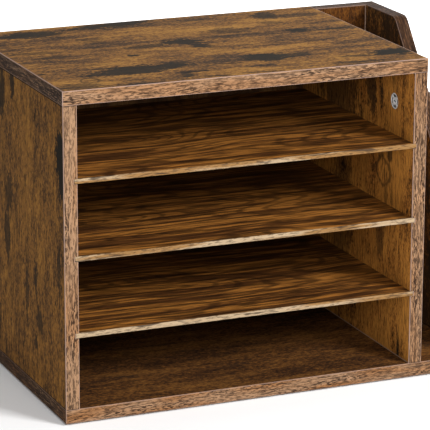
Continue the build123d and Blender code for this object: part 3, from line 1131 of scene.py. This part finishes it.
@dataclass
class Carcass:
    """The fixed boards, their edging and their fasteners."""

    edging: Edging
    joint_gap_shade: Colour = paint(21, 16, 13)
    joint_core: Colour = paint(158, 133, 116)
    first_seed: float = 2.0
    seed_step: float = 5.3

    def board_prints(self) -> list[tuple[str, RusticPrint]]:
        """The print of every thick board.

        Returns:
            Nodes and their prints.
        """
        low = Face.LOW
        top = RusticPrint(
            "top_board_print",
            Lie.LEVEL,
            3.1,
            smudges=(
                Mark(-149, -70, 42, 19, 5),
                Mark(-120, -65, 22, 12, -7),
                Mark(-72, 21, 22, 11, -10),
                Mark(-61, 0, 11, 9, -22),
                Mark(-111, 15, 28, 7, 2, 0.8),
                Mark(-133, -15, 6, 5, -9),
                Mark(-186, 98, 34, 17, -2, 0.9),
                Mark(-104, 115, 48, 14, 8),
                Mark(-146, 56, 14, 14, -15, 0.45),
                Mark(-210, 25, 25, 7, -9, 0.55),
                Mark(-200, 3, 16, 6, 0, 0.5),
                Mark(-215, -113, 24, 11, 1, 0.6),
                Mark(-117, -103, 6, 12, -22, 0.8),
                Mark(-24, -66, 27, 17, 5),
                Mark(7, -66, 13, 8, -2, 0.7),
                Mark(48, 26, 13, 8, -20),
                Mark(82, 23, 23, 4, 2, 0.8),
                Mark(-14, 50, 20, 13, -14, 0.6),
                Mark(39, 70, 12, 9, -14, 0.6),
                Mark(46, 100, 16, 14, -6, 0.9),
                Mark(76, 90, 22, 9, -4, 0.6),
                Mark(86, -90, 22, 12, 1, 1.2),
                Mark(50, -91, 18, 5, -2, 0.8),
                Mark(41, -112, 27, 5, -6, 0.8),
            ),
            cracks=(
                Mark(-165, -120, 18, 3, -3),
                Mark(-105, -95, 17, 2.5, -4),
                Mark(-93, -118, 13, 2.5, -12),
                Mark(-52, -120, 19, 2.5, -8),
                Mark(-44, -96, 16, 2.5),
                Mark(-65, -76, 14, 2.5, -10),
                Mark(-234, -57, 4, 3),
                Mark(10, -20, 44, 2, 2, 0.5),
                Mark(-190, -40, 30, 2, -2, 0.5),
            ),
            knots=(Mark(-203, -94, 8, 9, -10),),
            clouds=1.25,
            stray_smudges=0.25,
        )
        left = RusticPrint(
            "left_side_print",
            Lie.SIDE,
            11.4,
            smudges=(
                Mark(240, -117, 17, 16, 0, 1.8, low),
                Mark(222, -123, 18, 8, 0, 1.6, low),
                Mark(265, 36, 24, 10, 0, 0.9, low),
                Mark(279, 7, 12, 7, 0, 0.9, low),
                Mark(174, 22, 22, 9, 0, 0.8, low),
                Mark(134, 27, 20, 9, 0, 0.8, low),
                Mark(111, -50, 18, 5, 0, 0.9, low),
                Mark(76, -58, 16, 8, 20, 0.8, low),
                Mark(54, -48, 8, 5, 0, 0.8, low),
                Mark(92, -26, 40, 4, 0, 0.6, low),
                Mark(134, -110, 22, 6, 0, 0.7, low),
                Mark(90, 75, 50, 12, 0, 0.7, low),
                Mark(220, 80, 60, 12, 0, 0.6, low),
            ),
            cracks=(Mark(261, -52, 5, 2, 0, 1, low), Mark(199, -26, 5, 2, 0, 1, low)),
            dark=paint(62, 46, 31),
            brown=paint(95, 67, 38),
            tan=paint(128, 88, 44),
            gold=paint(156, 110, 51),
            clouds=0.7,
            streaks=0.85,
            stray_smudges=0.3,
        )
        # Lighter paints than the other boards, and a lighter low face, the inner one: painted light.
        right = RusticPrint(
            "right_side_print_lit",
            Lie.SIDE,
            17.9,
            smudges=(
                Mark(258, -38, 30, 12, 0, 0.8, low),
                Mark(240, 30, 50, 40, 0, 0.7, low),
                Mark(158, -72, 18, 4, 0, 0.5, low),
                Mark(200, -78, 10, 6, 0, 0.8, low),
                Mark(120, -62, 24, 9, 0, 0.6, low),
                Mark(130, 20, 70, 22, 0, 0.5, low),
            ),
            knots=(Mark(182, -66, 13, 16, face=low),),
            dark=paint(46, 31, 18),
            brown=paint(98, 66, 34),
            tan=paint(168, 109, 50),
            gold=paint(204, 140, 64),
            low_face_painted_light=0.1,
            clouds=1.6,
            streaks=1.0,
            stray_smudges=1.0,
        )
        base = RusticPrint(
            "base_print",
            Lie.LEVEL,
            23.2,
            dark=paint(44, 29, 19),
            brown=paint(68, 43, 25),
            tan=paint(94, 61, 31),
            gold=paint(122, 82, 40),
            streaks=0.8,
            stray_smudges=0.6,
        )
        # Its low face, in the bay, is darker: painted shade.
        tall = RusticPrint("tall_divider_print_shaded", Lie.SIDE, 31.6, low_face_painted_light=-0.1, stray_smudges=0.8)
        end = RusticPrint(
            "low_end_print",
            Lie.SIDE,
            43.8,
            smudges=(
                Mark(120, 40, 34, 12),
                Mark(70, -50, 26, 8),
                Mark(150, 95, 30, 9),
                Mark(45, 80, 22, 7),
            ),
            stray_smudges=0.5,
        )
        # Darker paints for the back inside the tall bay: painted shade.
        tall_back = RusticPrint(
            "tall_back_print_shaded",
            Lie.BACK,
            53.1,
            dark=paint(36, 21, 11),
            brown=paint(58, 34, 16),
            tan=paint(80, 47, 20),
            gold=paint(104, 65, 27),
            stray_smudges=0.4,
        )
        low_back = RusticPrint("low_back_print", Lie.BACK, 61.7, stray_smudges=0.5)
        return [
            ("top_board", top),
            ("left_side_panel", left),
            ("right_side_panel", right),
            ("base_board", base),
            ("tall_divider", tall),
            ("low_end_panel", end),
            ("tall_bay_back", tall_back),
            ("low_bay_back", low_back),
        ]

    def dress(self, node: str, material: bpy.types.Material) -> None:
        """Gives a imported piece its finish.

        Args:
            node: The piece.
            material: Its finish.
        """
        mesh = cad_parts[node].data
        mesh.materials.clear()
        mesh.materials.append(material)
        LOG.info("%s: finish %s", node, material.name)

    def joint_lines(self, node: str, low: Vector, high: Vector) -> tuple[JointLine, ...]:
        """Where a board meets its neighbours, and what shows there.

        Args:
            node: The board.
            low: Its lowest corner.
            high: Its highest corner.

        Returns:
            The lines to print.
        """
        # Gap lines are painted shade where boards meet; core lines are pale chipped core.
        gap_shade, core = self.joint_gap_shade, self.joint_core
        lines = {
            "left_side_panel": (JointLine(low.z, gap_shade), JointLine(high.z, gap_shade)),
            "right_side_panel": (JointLine(low.z, core), JointLine(high.z, gap_shade)),
            "tall_divider": (JointLine(low.z, gap_shade),),
            "low_end_panel": (JointLine(low.z, gap_shade),),
            "tall_bay_back": (JointLine(high.x, core, False), JointLine(low.x, gap_shade, False)),
            "low_bay_back": (JointLine(high.x, core, False), JointLine(low.x, gap_shade, False)),
        }
        return lines.get(node, ())

    def dress_boards(self) -> None:
        """Gives every thick board its own print, and the thin back its hardboard."""
        for node, finish in self.board_prints():
            low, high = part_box(node)
            finish = replace(finish, lines=self.joint_lines(node, low, high))
            axis = finish.lie.value[2]
            self.dress(node, finish.make((low[axis] + high[axis]) / 2, (high[axis] - low[axis]) / 2))
        low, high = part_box("cabinet_back_sheet")
        self.dress("cabinet_back_sheet", Hardboard("thin_back_hardboard", (low.y + high.y) / 2).make())

    def dress_edging(self, pieces: Mapping[str, bpy.types.Object]) -> None:
        """Gives each board's edging a print of its own, warmer on the base board, with painted shade in the
        bays.

        Args:
            pieces: The edging pieces, by board.
        """
        for i, (name, piece) in enumerate(pieces.items()):
            label, seed = f"{name}_edging_print", self.first_seed + self.seed_step * i
            # Darker paints for the edging inside the bays: painted shade.
            if name in BAY_BOARDS:
                finish = EdgingPrint(
                    label,
                    seed,
                    self.edging.arris,
                    light=paint(122, 92, 70),
                    warm=paint(112, 76, 48),
                    warm_share=0.8,
                    core_share=0.4,
                    butted=True,
                )
            elif name == "base_board":
                finish = EdgingPrint(label, seed, self.edging.arris, warm_share=0.9, core_share=0.45)
            else:
                finish = EdgingPrint(label, seed, self.edging.arris, butted=name != "top_board")
            piece.data.materials.append(finish.make())

    def dress_fasteners(self) -> None:
        """Finishes the cams, bolts, screws, dowels and foot pads."""
        # Painted light: the zinc is near-white and not metallic, so the weakly lit cams read as bright
        # metal.
        zinc = Metal("cast_zinc", paint(252, 252, 250), paint(226, 227, 228), 0.4, 0.0)
        plated = Metal("zinc_plated_steel", paint(181, 173, 152), paint(134, 125, 106), 0.3).make()
        inner = (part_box("left_side_panel")[1].x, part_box("right_side_panel")[0].x)
        rear = (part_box("tall_divider")[1].y,)
        self.dress("top_cam_locks", replace(zinc, axis=0, faces=inner).make())
        self.dress("bay_cam_locks", replace(zinc, name="cast_zinc_rear", axis=1, faces=rear).make())
        for node in ("top_cam_bolts", "bay_cam_bolts", "base_screws"):
            self.dress(node, plated)
        beech = Beech().make()
        for node in ("base_dowels", "top_dowels", "bay_dowels"):
            self.dress(node, beech)
        self.dress("foot_pads", PadRubber().make())

    def build(self) -> None:
        """Builds the edging and finishes every fixed piece."""
        self.dress_edging(self.edging.make_all())
        self.dress_boards()
        self.dress_fasteners()


# ---------------------------------------------------------------------------- the studio
@dataclass(frozen=True)
class Lamp:
    """A soft rectangular lamp, which the camera doesn't see."""

    name: str
    place: Point
    size: tuple[float, float]
    power: float
    target: Point

    def hang(self) -> None:
        """Puts the lamp up, facing its target."""
        light = bpy.data.lights.new(self.name, "AREA")
        light.shape = "RECTANGLE"
        light.size, light.size_y = self.size
        light.energy = self.power
        made = bpy.data.objects.new(self.name, light)
        made.location = self.place
        made.rotation_euler = (Vector(self.target) - Vector(self.place)).to_track_quat("-Z", "Y").to_euler()
        made.visible_camera = False
        bpy.context.scene.collection.objects.link(made)


@dataclass(frozen=True)
class Studio:
    """Pale floor, white surround, soft lamps and the camera."""

    from_corner: Point = (-0.766, -2.133, 0.830)
    turn: float = 23.007
    tilt: float = 15.797
    roll: float = 0.189
    lens: float = 231.4
    sensor: float = 36.0
    surround: float = 0.38
    floor_glow: float = 0.02
    floor_half: float = 6.0
    floor_paint: Colour = paint(250, 250, 250)
    white: Colour = (1.0, 1.0, 1.0, 1.0)
    reach: float = 50.0
    lamps: tuple[Lamp, ...] = (
        Lamp("key_lamp", (1.15, -1.95, 1.4), (0.8, 0.8), 70.0, (0.0, 0.0, 0.14)),
        Lamp("front_lamp", (-0.35, -1.5, 0.75), (0.5, 0.5), 12.0, (0.0, 0.0, 0.2)),
        Lamp("back_lamp", (0.75, 1.2, 0.85), (1.5, 1.4), 24.0, (0.75, 1.2, 0.0)),
    )

    def floor(self) -> None:
        """Lays the floor: one large square, level with the feet."""
        half = self.floor_half
        mesh = bpy.data.meshes.new("floor")
        corners = [(-half, -half, 0), (half, -half, 0), (half, half, 0), (-half, half, 0)]
        mesh.from_pydata(corners, [], [(0, 1, 2, 3)])
        made = bpy.data.objects.new("floor", mesh)
        bpy.context.scene.collection.objects.link(made)
        graph = Graph("pale_floor")
        finish = graph.finish(
            self.floor_paint,
            0.9,
            Specular_IOR_Level=0.05,
            Emission_Color=self.white,
            Emission_Strength=self.floor_glow,
        )
        mesh.materials.append(finish)

    def world(self) -> None:
        """Surrounds the scene with soft light in front of a white backdrop, with no film curve."""
        world = bpy.data.worlds.new("white_surround")
        world.use_nodes = True
        tree = world.node_tree
        background = tree.nodes["Background"]
        background.inputs["Color"].default_value = self.white
        seen = tree.nodes.new("ShaderNodeLightPath").outputs["Is Camera Ray"]
        strength = tree.nodes.new("ShaderNodeMapRange")
        strength.inputs["To Min"].default_value = self.surround
        strength.inputs["To Max"].default_value = 1.0
        tree.links.new(seen, strength.inputs["Value"])
        tree.links.new(strength.outputs["Result"], background.inputs["Strength"])
        bpy.context.scene.world = world
        bpy.context.scene.view_settings.view_transform = "Standard"

    def camera(self) -> None:
        """Sets the camera by its turn, tilt and roll, at a place given from the base board's corner."""
        low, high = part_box("base_board_edging")
        turn, tilt, roll = (math.radians(angle) for angle in (self.turn, self.tilt, self.roll))
        ahead = Vector((math.sin(turn) * math.cos(tilt), math.cos(turn) * math.cos(tilt), -math.sin(tilt)))
        right = Vector((math.cos(turn), -math.sin(turn), 0.0))
        up = right.cross(ahead)
        rolled_right = math.cos(roll) * right + math.sin(roll) * up
        rolled_up = math.cos(roll) * up - math.sin(roll) * right
        axes = Matrix((rolled_right, rolled_up, -ahead)).transposed().to_4x4()
        data = bpy.data.cameras.new("camera")
        data.sensor_width = self.sensor
        data.lens = self.lens
        data.clip_end = self.reach
        made = bpy.data.objects.new("camera", data)
        made.matrix_world = Matrix.Translation(low + Vector(self.from_corner)) @ axes
        bpy.context.scene.collection.objects.link(made)
        bpy.context.scene.camera = made

    def build(self) -> None:
        """Sets the studio up."""
        self.floor()
        self.world()
        for lamp in self.lamps:
            lamp.hang()
        self.camera()


def main() -> None:
    """Builds the organizer's looks and its studio."""
    logging.basicConfig(level=logging.INFO, format="%(name)s: %(message)s")
    Studio().build()
    Carcass(Edging()).build()
    for i, node in enumerate(SHELVES):
        ThinShelf(node, i + 1).build()


if __name__ == "__main__":
    main()
